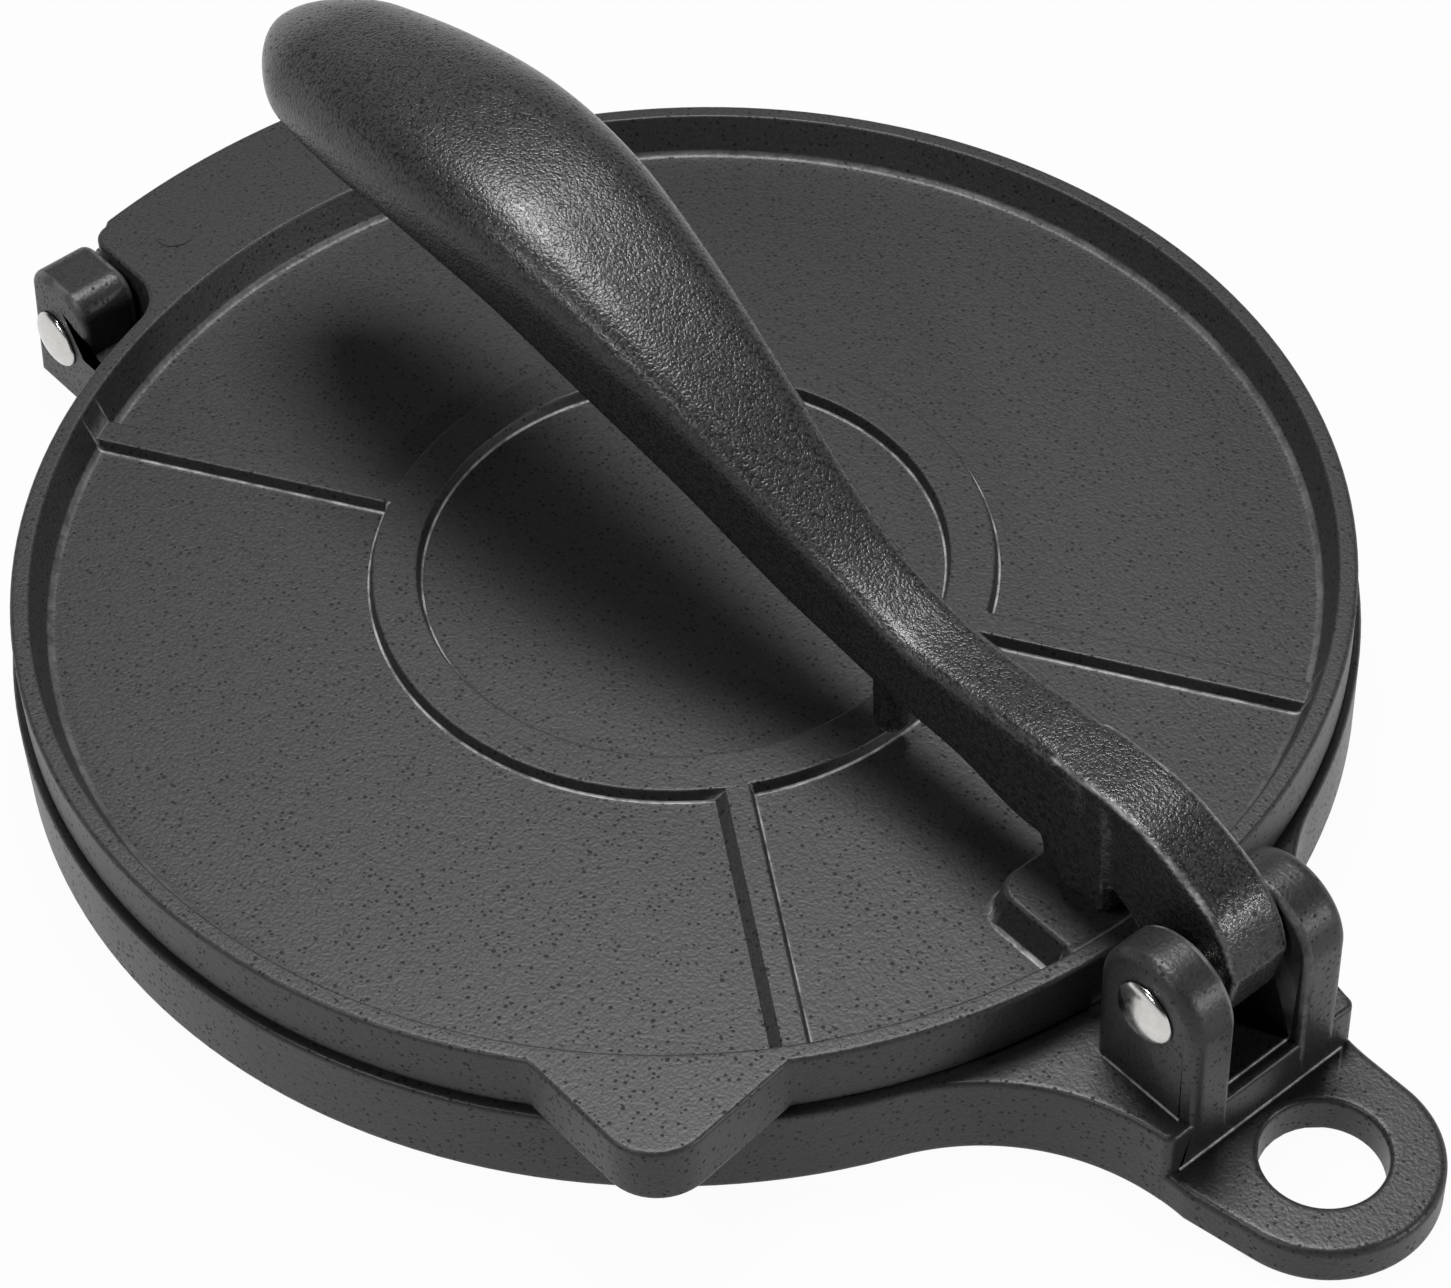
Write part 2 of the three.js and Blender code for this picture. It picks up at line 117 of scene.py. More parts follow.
pivot_x = 94.4
pivot_z = 25.6
ear_radius = 7.8
near_ear = (-12.6, -6.4)
far_ear = (4.7, 11.2)
ear_inner_round = 0.9
ear_outer_round = 1.7
ear_fillet = 0.45
block_near = 15.4
block_far = 13.8
block_front = 102.0
block_round = 1.3
block_fillet = 0.5
slot_floor = 12.4
flare_radius = 30.0

tab_height = 5.5
tab_x = 111.1
tab_radius = 13.8
tab_hole = 7.35
tab_rounds = (0.9, 0.7)
tab_hole_rounds = (0.7, 0.5)

pin_radius = 2.8
pin_bore = 3.1
pin_head = 4.1
pin_dome = 1.5
head_rim = 0.2

# A plain ring of points lies this far beside each rounding, on the flat and on the wall, to keep them flat
flat_margin = 0.35
wall_margin = 0.3
# Parts that are joined to a casting start this far inside it, and a cutter sticks out this far
sunk = 0.05
spare = 2.0

# Outlines and profiles


def arc(centre_x, centre_y, radius, start, end, steps):
    """Points on an arc, both ends included."""
    turn = [start + (end - start) * k / steps for k in range(steps + 1)]
    return [(centre_x + radius * math.cos(a), centre_y + radius * math.sin(a)) for a in turn]


def soften(points, radii, steps=4):
    """An open line of points with each inner corner rounded to its radius."""
    line = [points[0]]
    for k in range(1, len(points) - 1):
        here = Vector(points[k])
        back = Vector(points[k - 1]) - here
        ahead = Vector(points[k + 1]) - here
        half = back.angle(ahead) / 2
        # A rounding takes less than half of each side, so that the next one has room
        reach = min(radii[k - 1] / math.tan(half), back.length * 0.49, ahead.length * 0.49)
        radius = reach * math.tan(half)
        if radius < 0.01:
            line.append(tuple(here))
            continue
        middle = here + (back.normalized() + ahead.normalized()).normalized() * (radius / math.sin(half))
        first = here + back.normalized() * reach - middle
        last = here + ahead.normalized() * reach - middle
        whole = first.angle(last)
        for step in range(steps + 1):
            share = step / steps
            spoke = first * math.sin((1 - share) * whole) + last * math.sin(share * whole)
            line.append(tuple(middle + spoke / math.sin(whole)))
    line.append(points[-1])
    return line


def inset(outline, distance):
    """A closed outline, counter-clockwise, moved inwards by a distance."""
    ring = np.array(outline, float)
    ahead = np.roll(ring, -1, axis=0) - ring
    ahead /= np.maximum(np.linalg.norm(ahead, axis=1), 1e-9)[:, None]
    back = np.roll(ahead, 1, axis=0)
    inward = np.stack([-(ahead + back)[:, 1], (ahead + back)[:, 0]], axis=1)
    inward /= np.maximum(np.linalg.norm(inward, axis=1), 1e-9)[:, None]
    # At a sharp corner the point would run far off, which the lower bound stops
    lean = np.clip(inward[:, 0] * -ahead[:, 1] + inward[:, 1] * ahead[:, 0], 0.6, 1)
    return ring + inward * (distance / lean)[:, None]


def edge_rings(outline, level, radius, steps, side, grow=1):
    """Rings from a flat face over its rounded edge to the wall. Side is 1 at a top edge, -1 at a bottom one.

    Grow is 1 for an outer edge, and -1 for the edge of a hole.
    """
    rings = []
    for step in range(steps + 1):
        turn = step / steps * math.pi / 2
        drawn = inset(outline, grow * radius * (1 - math.sin(turn)))
        height = level - side * radius * (1 - math.cos(turn))
        rings.append([(x, y, height) for x, y in drawn])
    return rings


# Meshes


def piece(name, points, faces):
    """A mesh object from points in millimetres round the disc centre."""
    mesh = bpy.data.meshes.new(name)
    placed = (np.array(points, float) + (disc_centre, 0, 0)) * MM
    mesh.from_pydata(placed.tolist(), [], faces)
    mesh.validate()
    thing = bpy.data.objects.new(name, mesh)
    bpy.context.scene.collection.objects.link(thing)
    return thing


def shell(name, rings, torus=False):
    """A closed skin through rings with the same number of points; the two ends are closed by fans."""
    count = len(rings[0])
    points = [tuple(p) for ring in rings for p in ring]
    faces = []
    last = len(rings) if torus else len(rings) - 1
    for level in range(last):
        for k in range(count):
            a = level * count + k
            b = level * count + (k + 1) % count
            c = ((level + 1) % len(rings)) * count + (k + 1) % count
            d = ((level + 1) % len(rings)) * count + k
            faces.append((a, b, c, d))
    if not torus:
        for level, first in ((0, True), (len(rings) - 1, False)):
            centre = len(points)
            points.append(tuple(np.mean(np.array(rings[level], float), axis=0)))
            for k in range(count):
                a = level * count + k
                b = level * count + (k + 1) % count
                faces.append((centre, b, a) if first else (centre, a, b))
    return piece(name, points, faces)


def slab(name, outline, low, high, low_round, high_round, plane="XY", steps=4):
    """A flat outline with thickness and rounded edges. Plane XY stands up in Z, plane XZ lies along Y."""
    rings = []
    for side, level, radius in ((-1, low, low_round), (1, high, high_round)):
        part = [[(x, y, level) for x, y in inset(outline, radius + wall_margin)]]
        part += edge_rings(outline, level, radius, steps, side)
        part.append([(x, y, level - side * (radius + wall_margin)) for x, y in outline])
        rings += part if side < 0 else part[::-1]
    if plane == "XZ":
        rings = [[(x, -height, z) for x, z, height in ring] for ring in rings]
    return shell(name, rings)


def cut_or_join(thing, others, operation):
    """Joins other closed solids to one, or cuts them out of it, and removes the others."""
    for other in others:
        step = thing.modifiers.new("joint", "BOOLEAN")
        step.object = other
        step.operation = operation
        step.solver = "MANIFOLD"
        settled(thing)
        bpy.data.objects.remove(other)
    return thing


def settled(thing):
    """Applies the modifiers of a mesh object."""
    view = bpy.context.evaluated_depsgraph_get()
    mesh = bpy.data.meshes.new_from_object(thing.evaluated_get(view))
    thing.modifiers.clear()
    thing.data = mesh


def lathe_y(name, profile, x, z, sides=48):
    """A profile of (along Y, radius) turned about a line along Y."""
    rings = []
    for along, radius in profile:
        turn = [2 * math.pi * k / sides for k in range(sides)]
        rings.append([(x + radius * math.sin(a), along, z + radius * math.cos(a)) for a in turn])
    return shell(name, rings)


def make_bore(low, high, x, z):
    """The cutter for a pin's bore, a little longer than what it goes through."""
    return lathe_y("bore", [(low - spare, pin_bore), (high + spare, pin_bore)], x, z)


# The ribbed discs

rib_bearings = [rib_angle, math.pi - rib_angle, -math.pi + rib_angle, -rib_angle]
# Half widths of the bands in which the columns of points run straight: over a rib, and over the pad
band_half = 3.9
pad_band = 13.6


def wrapped(angle):
    """The same angle, between minus and plus half a turn."""
    return (angle + math.pi) % (2 * math.pi) - math.pi


def bands():
    """The bearings along which columns of points keep a fixed distance: each rib and the cam's pad."""
    return [(bearing, band_half) for bearing in rib_bearings] + [(0.0, pad_band)]


def column_angle(out_angle, radius):
    """Bearing, at a radius, of the column of points that leaves the rim at out_angle."""
    near = max(radius, ring_inner)
    knots = []
    for bearing, half in bands():
        for side in (-1, 1):
            offset = side * half
            knots.append((bearing + math.asin(offset / rim_inner), bearing + math.asin(offset / near)))
    knots.sort()
    spread = [(a - 2 * math.pi, b - 2 * math.pi) for a, b in knots]
    spread += knots + [(a + 2 * math.pi, b + 2 * math.pi) for a, b in knots]
    for bearing, half in bands():
        offset = rim_inner * math.sin(wrapped(out_angle - bearing))
        if abs(wrapped(out_angle - bearing)) < 1 and abs(offset) <= half:
            return bearing + math.asin(offset / near), bearing, offset
    angle = np.interp(out_angle, [a for a, b in spread], [b for a, b in spread])
    return float(angle), None, None


# Points of an outline closer in bearing than this, in radians, count as one
same_bearing = 4e-4


def outline_by_angle(points):
    """An outline sorted by bearing, with no two points on one bearing."""
    marked = sorted((math.atan2(y, x), x, y) for x, y in points)
    kept = [marked[0]]
    for entry in marked[1:]:
        if entry[0] - kept[-1][0] > same_bearing:
            kept.append(entry)
    return kept


def raised_band(left, right):
    """Profile across a rib or the ring, from foot to foot, with a plain point beside each rounding."""
    draft = ring_draft * 0.5
    middle = (tray_floor + rib_top) / 2
    return [(left - 1.1, tray_floor), (left - ring_draft, tray_floor), (left - draft, middle),
            (left, rib_top), (left + 0.5, rib_top), (right - 0.5, rib_top), (right, rib_top),
            (right + draft, middle), (right + ring_draft, tray_floor), (right + 1.1, tray_floor)]


band_rounds = [0, rib_fillet, 0, rib_round, 0, 0, rib_round, 0, rib_fillet, 0]
rib_profile = soften([(-4, tray_floor)] + raised_band(-rib_half, rib_half) + [(4, tray_floor)],
                     band_rounds, 3)
tray_profile = soften([(0, tray_floor)] + raised_band(ring_inner, ring_outer)
                      + [(tray_radius - 1.6, tray_floor), (tray_radius, tray_floor),
                         (tray_radius + 1.1, tray_floor + 3.2), (rim_inner, plate_top),
                         (rim_inner + 0.6, plate_top), (rim_inner + 1.2, plate_top)],
                      band_rounds + [0, tray_fillet, 0, rib_fillet, 0], 4)
# Out from the edge of the pad's flat top, down its steep side
pad_profile = soften([(-4, pad_top), (-1.0, pad_top), (0, pad_top), (pad_slope * 0.4, pad_top - 1.9),
                      (pad_slope, tray_floor), (2.4, tray_floor), (4, tray_floor)],
                     [0, pad_round, 0, pad_round, 0])


def plate_outline():
    """Outer edge of the press plate: the rim, the thumb lip and the tongue over the hinge."""
    clear = 0.004

    def keeps(angle):
        in_lip = abs(wrapped(angle - lip_bearing)) < lip_edge + clear
        in_tongue = abs(wrapped(angle - math.pi)) < tongue_touch + clear
        return not in_lip and not in_tongue

    half = lip_spread / 2
    lip_edge = math.pi - half - (math.pi - math.asin(lip_reach * math.sin(half) / plate_radius))
    corner = Vector((lip_reach, 0))
    middle = lip_reach - lip_corner / math.sin(half)
    sides = []
    foot = Vector((plate_radius * math.cos(lip_edge), plate_radius * math.sin(lip_edge)))
    reach = lip_corner / math.tan(half)
    start = corner + (foot - corner).normalized() * reach
    for k in range(9):
        spot = foot.lerp(start, k / 8)
        sides += [tuple(spot), (spot.x, -spot.y)]
    tip = arc(middle, 0, lip_corner, -(math.pi / 2 - half), math.pi / 2 - half, 14)
    turn = Matrix.Rotation(lip_bearing, 2)
    points = [tuple(turn @ Vector(p)) for p in sides + tip]

    fillet_x = math.sqrt((plate_radius + tongue_fillet) ** 2 - (tongue_half + tongue_fillet) ** 2)
    fillet_y = tongue_half + tongue_fillet
    tongue_touch = math.atan2(fillet_y, fillet_x)
    rear = math.asin(tongue_half / tongue_reach)
    rear_x = tongue_reach * math.cos(rear)
    for side in (-1, 1):
        bend = arc(-fillet_x, side * fillet_y, tongue_fillet, -side * tongue_touch, -side * math.pi / 2, 9)
        points += bend
        flank_end = -rear_x + tongue_corner
        for k in range(1, 7):
            points.append((-fillet_x + (flank_end + fillet_x) * k / 7, side * tongue_half))
        points += arc(flank_end, side * (tongue_half - tongue_corner), tongue_corner,
                      side * math.pi / 2, side * math.pi * 0.96, 7)
    short = (tongue_corner + 0.6) / tongue_reach
    points += arc(0, 0, tongue_reach, math.pi - rear + short, math.pi + rear - short, 24)

    rim = [math.radians(a) for a in np.arange(-180, 180, 2.0)]
    for bearing in rib_bearings:
        rim += [bearing + math.asin(x / rim_inner) for x, _ in rib_profile]
    pad_offsets = [pad_half + x for x, _ in pad_profile] + list(np.arange(0.0, 9.5, 0.45)) + [12.6]
    rim += [side * math.asin(x / rim_inner) for x in pad_offsets for side in (-1, 1)]
    points += [(plate_radius * math.cos(a), plate_radius * math.sin(a)) for a in rim if keeps(a)]
    return outline_by_angle(points)


def pad_distance(x, y):
    """How far a point of the tray lies outside the flat top of the cam's pad."""
    across = abs(y) - pad_half + pad_corner
    along = pad_start + pad_corner - x
    outside = math.hypot(max(across, 0), max(along, 0))
    return outside + min(max(across, along), 0) - pad_corner


def profile_height(profile, place):
    """The height of a profile at a place along it."""
    return float(np.interp(place, [p[0] for p in profile], [p[1] for p in profile]))


def ring_points(columns, radius, height_at, straight=None):
    """One ring of points on the ribbed face. Near the cam's pad a ring is pulled straight across."""
    ring = []
    for out_angle, _, _ in columns:
        angle, bearing, offset = column_angle(out_angle, radius)
        x = radius * math.cos(angle)
        y = radius * math.sin(angle)
        if straight and abs(y) < 22 and x > 0:
            share = profile_height(straight, radius)
            share *= min(max((20 - abs(y)) / 8, 0), 1)
            x += share * (radius - x)
        ring.append((x, y, height_at(x, y, radius, bearing, offset)))
    return ring


def plate_height(x, y, radius, bearing, offset):
    """Height of the plate's upper face: tray, ring and rim, and the ribs and the cam's pad over them."""
    height = profile_height(tray_profile, radius)
    middle = (ring_inner + ring_outer) / 2
    if bearing is not None and abs(offset) <= band_half and bearing != 0.0 and radius >= middle:
        height = max(height, profile_height(rib_profile, offset))
    if x > 55 and abs(y) < 16:
        height = max(height, profile_height(pad_profile, pad_distance(x, y)))
    return height


def make_plate():
    """The press plate with its barrel and the ejector's mark, as one casting."""
    columns = plate_outline()
    outline = [(x, y) for _, x, y in columns]
    # Rings of points at each bend of the profiles, and plain ones between them
    radii = [6, 12, 18, 24, 28, 31, 36.0, 43, 48, 53, 58, 61.5, 72.5, 75, 77]
    radii += [r for r, _ in tray_profile[1:-1]]
    radii += [pad_start - x for x, _ in pad_profile] + list(np.arange(pad_start + 0.5, pad_start + 4.2, 0.5))
    radii = sorted(set(round(r, 3) for r in radii))
    # How far a ring is pulled straight at each radius, for the straight edge of the pad
    straight = [(58, 0), (63, 1), (71, 1), (76, 0)]
    rings = [ring_points(columns, r, plate_height, straight) for r in radii]
    rings.append([(x, y, plate_top) for x, y in inset(outline, rim_round + flat_margin)])
    rings += edge_rings(outline, plate_top, rim_round, 5, 1)
    for level in (plate_top - rim_round - wall_margin, rim_bottom + rim_foot_round + wall_margin):
        rings.append([(x, y, level) for x, y in outline])
    rings += edge_rings(outline, rim_bottom, rim_foot_round, 3, -1)[::-1]
    for radius, level in ((plate_face_radius + 0.8, rim_bottom), (plate_face_radius, plate_bottom - 0.05),
                          (plate_face_radius - 0.2, plate_bottom), (40, plate_bottom), (10, plate_bottom)):
        rings.append([(radius * math.cos(a), radius * math.sin(a), level) for a, _, _ in columns])
    plate = shell("press_plate_casting", rings)

    web = [(hinge_x - web_rear, web_top)]
    web += arc(hinge_x, hinge_z, barrel_radius, math.pi, 2 * math.pi, 24)
    web += [(hinge_x + barrel_radius, web_top)]
    barrel = slab("barrel", web, -tongue_half, tongue_half, barrel_round, barrel_round, "XZ")
    cut_or_join(plate, [barrel], "UNION")
    cut_or_join(plate, [make_bore(-tongue_half, tongue_half, hinge_x, hinge_z)], "DIFFERENCE")
    return cut_or_join(plate, [make_ejector_mark()], "UNION")


def make_ejector_mark():
    """The witness of an ejector pin: half of a round edge that stands a little proud of the tongue."""
    rings = []
    steps = 24
    for step in range(steps + 1):
        share = step / steps
        turn = math.radians(ejector_bearing + ejector_spread * (share - 0.5))
        fullness = math.sin(math.pi * share)
        width = 0.08 + ejector_step * fullness
        rise = 0.03 + ejector_rise * fullness
        section = [(ejector_radius - width, plate_top + rise), (ejector_radius, plate_top + rise),
                   (ejector_radius, plate_top - 0.6), (ejector_radius - width, plate_top - 0.6)]
        rings.append([(ejector_place[0] + r * math.cos(turn), ejector_place[1] + r * math.sin(turn), level)
                      for r, level in section])
    return shell("ejector_mark", rings)


def base_outline():
    """Outer edge of the base: the disc, and the neck that flows into the clevis block."""
    points = []
    corner_x = block_front - block_round
    touches = []
    for side, half in ((-1, block_near), (1, block_far)):
        arc_y = half + flare_radius
        arc_x = math.sqrt((base_radius + flare_radius) ** 2 - arc_y ** 2)
        touch = math.atan2(arc_y, arc_x)
        touches.append(touch)
        corner_y = arc_y - math.sqrt(flare_radius ** 2 - (arc_x - corner_x) ** 2) - block_round
        bend = arc(arc_x, side * arc_y, flare_radius, side * (touch - math.pi), -side * math.pi / 2, 40)
        points += [p for p in bend if p[0] < corner_x - 0.3]
        points += arc(corner_x, side * corner_y, block_round, side * math.pi / 2, 0, 6)
    points += [(block_front, y) for y in range(-12, 13, 3)]
    rim = [math.radians(a) for a in np.arange(-180, 180, 2.0)]
    for bearing in rib_bearings:
        rim += [bearing + math.asin(x / rim_inner) for x in [0] + [x for x, _ in under_rib_profile[1:-1]]]
    points += [(base_radius * math.cos(a), base_radius * math.sin(a)) for a in rim
               if abs(wrapped(a)) > touches[0 if a < 0 else 1] + 0.01]
    return outline_by_angle(points)


under_profile = soften([(0, recess_depth), (under_ring[0] - under_slope, recess_depth),
                        (under_ring[0], under_rib_foot), (under_ring[1], under_rib_foot),
                        (under_ring[1] + under_slope, recess_depth),
                        (skirt_radius - skirt_draft, recess_depth), (skirt_radius, 0),
                        (skirt_radius + 1.0, 0)],
                       [0.5, 0.4, 0.4, 0.5, 0.8, 0.4])
under_rib_side = [(1.6, under_rib_foot), (under_rib_half, under_rib_foot + under_slope),
                  (2.2, recess_depth - 0.3), (2.6, recess_depth), (band_half, recess_depth)]
under_rib_profile = [(-x, z) for x, z in under_rib_side[::-1]] + under_rib_side


def under_height(x, y, radius, bearing, offset):
    """Height of the base's hidden lower face: the recess, its ring and its ribs."""
    height = profile_height(under_profile, radius)
    if bearing not in (None, 0.0) and radius >= sum(under_ring) / 2:
        height = min(height, profile_height(under_rib_profile, offset))
    return height


def make_base():
    """The base with its clevis ears, hinge ears and hanging tab, as one casting."""
    columns = base_outline()
    outline = [(x, y) for _, x, y in columns]
    rings = [[(r * math.cos(a), r * math.sin(a), base_height) for a, _, _ in columns] for r in (15, 50, 78)]
    rings.append([(x, y, base_height) for x, y in inset(outline, base_round + flat_margin)])
    rings += edge_rings(outline, base_height, base_round, 5, 1)
    for level in (base_height - base_round - wall_margin, base_foot_round + wall_margin):
        rings.append([(x, y, level) for x, y in outline])
    rings += edge_rings(outline, 0, base_foot_round, 4, -1)[::-1]
    radii = [r for r, _ in under_profile[1:-1]] + [8, 20, 30, 36.0, 44, 55, 66]
    for radius in sorted(set(round(r, 3) for r in radii), reverse=True):
        rings.append(ring_points(columns, radius, under_height))
    base = shell("base_casting", rings)

    ear = [(pivot_x - ear_radius, base_height - 3), (pivot_x + ear_radius, base_height - 3)]
    ear += arc(pivot_x, pivot_z, ear_radius, 0, math.pi, 36)
    # The hinge ears end a hair above the table, so that the press stands on its skirt
    lift = 0.05
    root_x = -skirt_radius + 6
    root_z = base_height - 0.2
    level = hinge_ear_top - hinge_ear_corner
    hinge_ear = [(hinge_ear_rear, lift), (root_x, lift), (root_x, root_z), (hinge_ear_front, root_z)]
    hinge_ear += arc(hinge_ear_front - hinge_ear_corner, level, hinge_ear_corner, 0, math.pi / 2, 12)
    hinge_ear += arc(hinge_ear_rear + hinge_ear_lean + hinge_ear_corner, level, hinge_ear_corner,
                     math.pi / 2, math.pi, 12)
    parts = []
    for (low, high), rounds in ((near_ear, (ear_inner_round, ear_outer_round)),
                                (far_ear, (ear_outer_round, ear_inner_round))):
        parts.append(slab("clevis_ear", ear, -high, -low, rounds[0], rounds[1], "XZ", 6))
    hinge_ears = [sorted((side * hinge_ear_inner, side * hinge_ear_outer)) for side in (-1, 1)]
    for low, high in hinge_ears:
        parts.append(slab("hinge_ear", hinge_ear, -high, -low, hinge_ear_round, hinge_ear_round, "XZ", 5))
    foot = base_height - sunk
    ear_ends = (pivot_x - ear_radius + 1.8, pivot_x + ear_radius - 1.8)
    for side, wall in ((-1, near_ear[0] + sunk), (1, far_ear[1] - sunk)):
        parts.append(cove("ear_foot", (ear_ends[0], wall, foot), (ear_ends[1], wall, foot),
                          (0, side, 0), ear_fillet))
    front, foot = block_front - sunk, tab_height - sunk
    parts.append(cove("block_foot", (front, -block_near + 1.6, foot), (front, block_far - 1.6, foot),
                      (1, 0, 0), block_fillet))
    cut_or_join(base, parts + [make_tab(), make_sill()], "UNION")
    bores = [make_bore(near_ear[0], far_ear[1], pivot_x, pivot_z)]
    bores += [make_bore(low, high, hinge_x, hinge_z) for low, high in hinge_ears]
    return cut_or_join(base, bores, "DIFFERENCE")


def make_sill():
    """The floor of the clevis slot, a little above the block and 1 mm into each ear."""
    rear, front = pivot_x - ear_radius, block_front - 1.4
    outline = [(rear, near_ear[1] - 1), (front, near_ear[1] - 1), (front, far_ear[0] + 1),
               (rear, far_ear[0] + 1)]
    return slab("sill", outline, base_height - 2, slot_floor, 0.1, 0.25)


def make_tab():
    """The hanging tab with its hole: the low half of the neck runs on into it without a corner."""
    # The tab's walls lie this far inside those of the neck, so that no two faces fall on each other
    inside = 0.03
    points = [(pivot_x - 2, y) for y in (-12, -8, -4, 0, 4, 8, 12)]
    for side, half in ((-1, block_near), (1, block_far)):
        arc_y = half + flare_radius
        arc_x = math.sqrt((base_radius + flare_radius) ** 2 - arc_y ** 2)
        points += arc(arc_x, side * arc_y, flare_radius + inside,
                      -side * math.radians(104), -side * math.pi / 2, 12)
        reach = math.hypot(tab_x - arc_x, half - inside)
        lean = math.atan2(half - inside, tab_x - arc_x)
        touch = math.pi - lean - math.acos(min(tab_radius / reach, 1))
        foot = (tab_x + tab_radius * math.cos(touch), tab_radius * math.sin(touch))
        for k in range(1, 5):
            share = k / 5
            points.append((arc_x + (foot[0] - arc_x) * share,
                           side * (half - inside + (foot[1] - half + inside) * share)))
        points += arc(tab_x, 0, tab_radius, side * touch, 0, 30)[:-1 if side < 0 else None]
    marked = sorted((math.atan2(y, x - tab_x), x, y) for x, y in points)
    outer = [(x, y) for _, x, y in marked]
    hole = [(tab_x + tab_hole * math.cos(a), tab_hole * math.sin(a)) for a, _, _ in marked]
    rings = []
    for outline, grow, (high_round, low_round) in ((outer, 1, tab_rounds), (hole, -1, tab_hole_rounds)):
        part = [[(x, y, tab_height) for x, y in inset(outline, grow * (high_round + flat_margin))]]
        part += edge_rings(outline, tab_height, high_round, 5, 1, grow)
        for level in (tab_height - high_round - wall_margin, low_round + wall_margin):
            part.append([(x, y, level) for x, y in outline])
        part += edge_rings(outline, 0, low_round, 4, -1, grow)[::-1]
        rings += part if grow > 0 else part[::-1]
    return shell("tab", rings, torus=True)


def cove(name, start, end, away, radius):
    """A hollow fillet along the foot of an upright wall: its free face curves from the wall to the floor."""
    rooted = 0.15
    section = [(-rooted, -rooted), (radius, -rooted), (radius, 0.0)]
    for step in range(1, 6):
        turn = step / 6 * math.pi / 2
        section.append((radius * (1 - math.sin(turn)), radius * (1 - math.cos(turn))))
    section += [(0.0, radius), (-rooted, radius)]
    out, up = Vector(away), Vector((0, 0, 1))
    rings = [[tuple(Vector(spot) + out * a + up * b) for a, b in section] for spot in (start, end)]
    return shell(name, rings)


# The lever

lever_reach = 170.9
lever_half = 14.0
lever_crown = 67.2
# Stations from the tip: share of the reach, half width share, top and bottom share of the crown, squareness
lever_stations = [
    (0.000, 0.560, 0.908, 0.775, 2.4), (0.073, 0.784, 0.950, 0.756, 2.5), (0.155, 0.925, 0.984, 0.769, 2.7),
    (0.243, 0.962, 1.000, 0.780, 3.0), (0.331, 0.901, 0.978, 0.752, 3.4), (0.419, 0.762, 0.905, 0.680, 4.2),
    (0.506, 0.596, 0.811, 0.595, 4.9), (0.594, 0.438, 0.698, 0.495, 5.4), (0.652, 0.361, 0.632, 0.452, 5.7),
    (0.711, 0.345, 0.592, 0.432, 5.9), (0.770, 0.330, 0.592, 0.420, 6.0), (0.828, 0.335, 0.606, 0.388, 6.0),
    (0.880, 0.340, 0.612, 0.400, 6.0),
]
tip_round = 13.0
section_middle = 0.42
grip_steps = 130
grip_sides = 72
tip_crowding = 1.25
# The tail's outline seen from the side, in shares of its size from the pivot
tail_half = 4.4
tail_size = 15.0
tail_rounds = (0.8, 0.5)
tail_shares = [
    (-1.60, 1.02), (-1.25, 1.04), (-0.95, 1.04), (-0.62, 0.99), (-0.28, 0.86), (-0.01, 0.72), (0.145, 0.57),
    (0.26, 0.39), (0.345, 0.16), (0.30, -0.07), (0.225, -0.32), (0.08, -0.45), (-0.12, -0.50), (-0.40, -0.33),
    (-0.62, -0.10), (-0.95, 0.13), (-1.35, 0.20), (-1.60, 0.22),
]
tail_crease = 8
cam_front = 80.0
cam_rear = 67.3
cam_bottom = 20.4
cam_toe = 3.4
cam_top = 40.5
peg_x = 38.8
peg_radius = 2.3
peg_bottom = 18.2
peg_root = 30.0
peg_round = 0.5
skin_voxel = 0.42


def between_stations(column, share):
    """A smooth curve through the stations, as in the solid that this piece stands for."""
    table = lever_stations
    at = 0
    while at + 2 < len(table) and table[at + 1][0] < share:
        at += 1

    def slope(row):
        low, high = max(row - 1, 0), min(row + 1, len(table) - 1)
        return (table[high][column] - table[low][column]) / (table[high][0] - table[low][0])

    span = table[at + 1][0] - table[at][0]
    t = (share - table[at][0]) / span
    near, far = table[at][column], table[at + 1][column]
    ends = (2 * t ** 3 - 3 * t ** 2 + 1) * near + (3 * t ** 2 - 2 * t ** 3) * far
    return ends + (t ** 3 - 2 * t ** 2 + t) * span * slope(at) + (t ** 3 - t ** 2) * span * slope(at + 1)


def flowing(points, crisp, steps=6):
    """A smooth curve through the points of an outline, with a corner at each crisp one."""
    line = []
    for k in range(len(points) - 1):
        start, end = Vector(points[k]), Vector(points[k + 1])
        before = start if k in crisp else Vector(points[k - 1])
        after = end if k + 1 in crisp else Vector(points[k + 2])
        for step in range(steps):
            t = step / steps
            line.append(tuple(start + 0.5 * t * (end - before)
                              + t * t * (before - 2.5 * start + 2 * end - 0.5 * after)
                              + 0.5 * t ** 3 * (3 * start - 3 * end + after - before)))
    return line + [tuple(points[-1])]


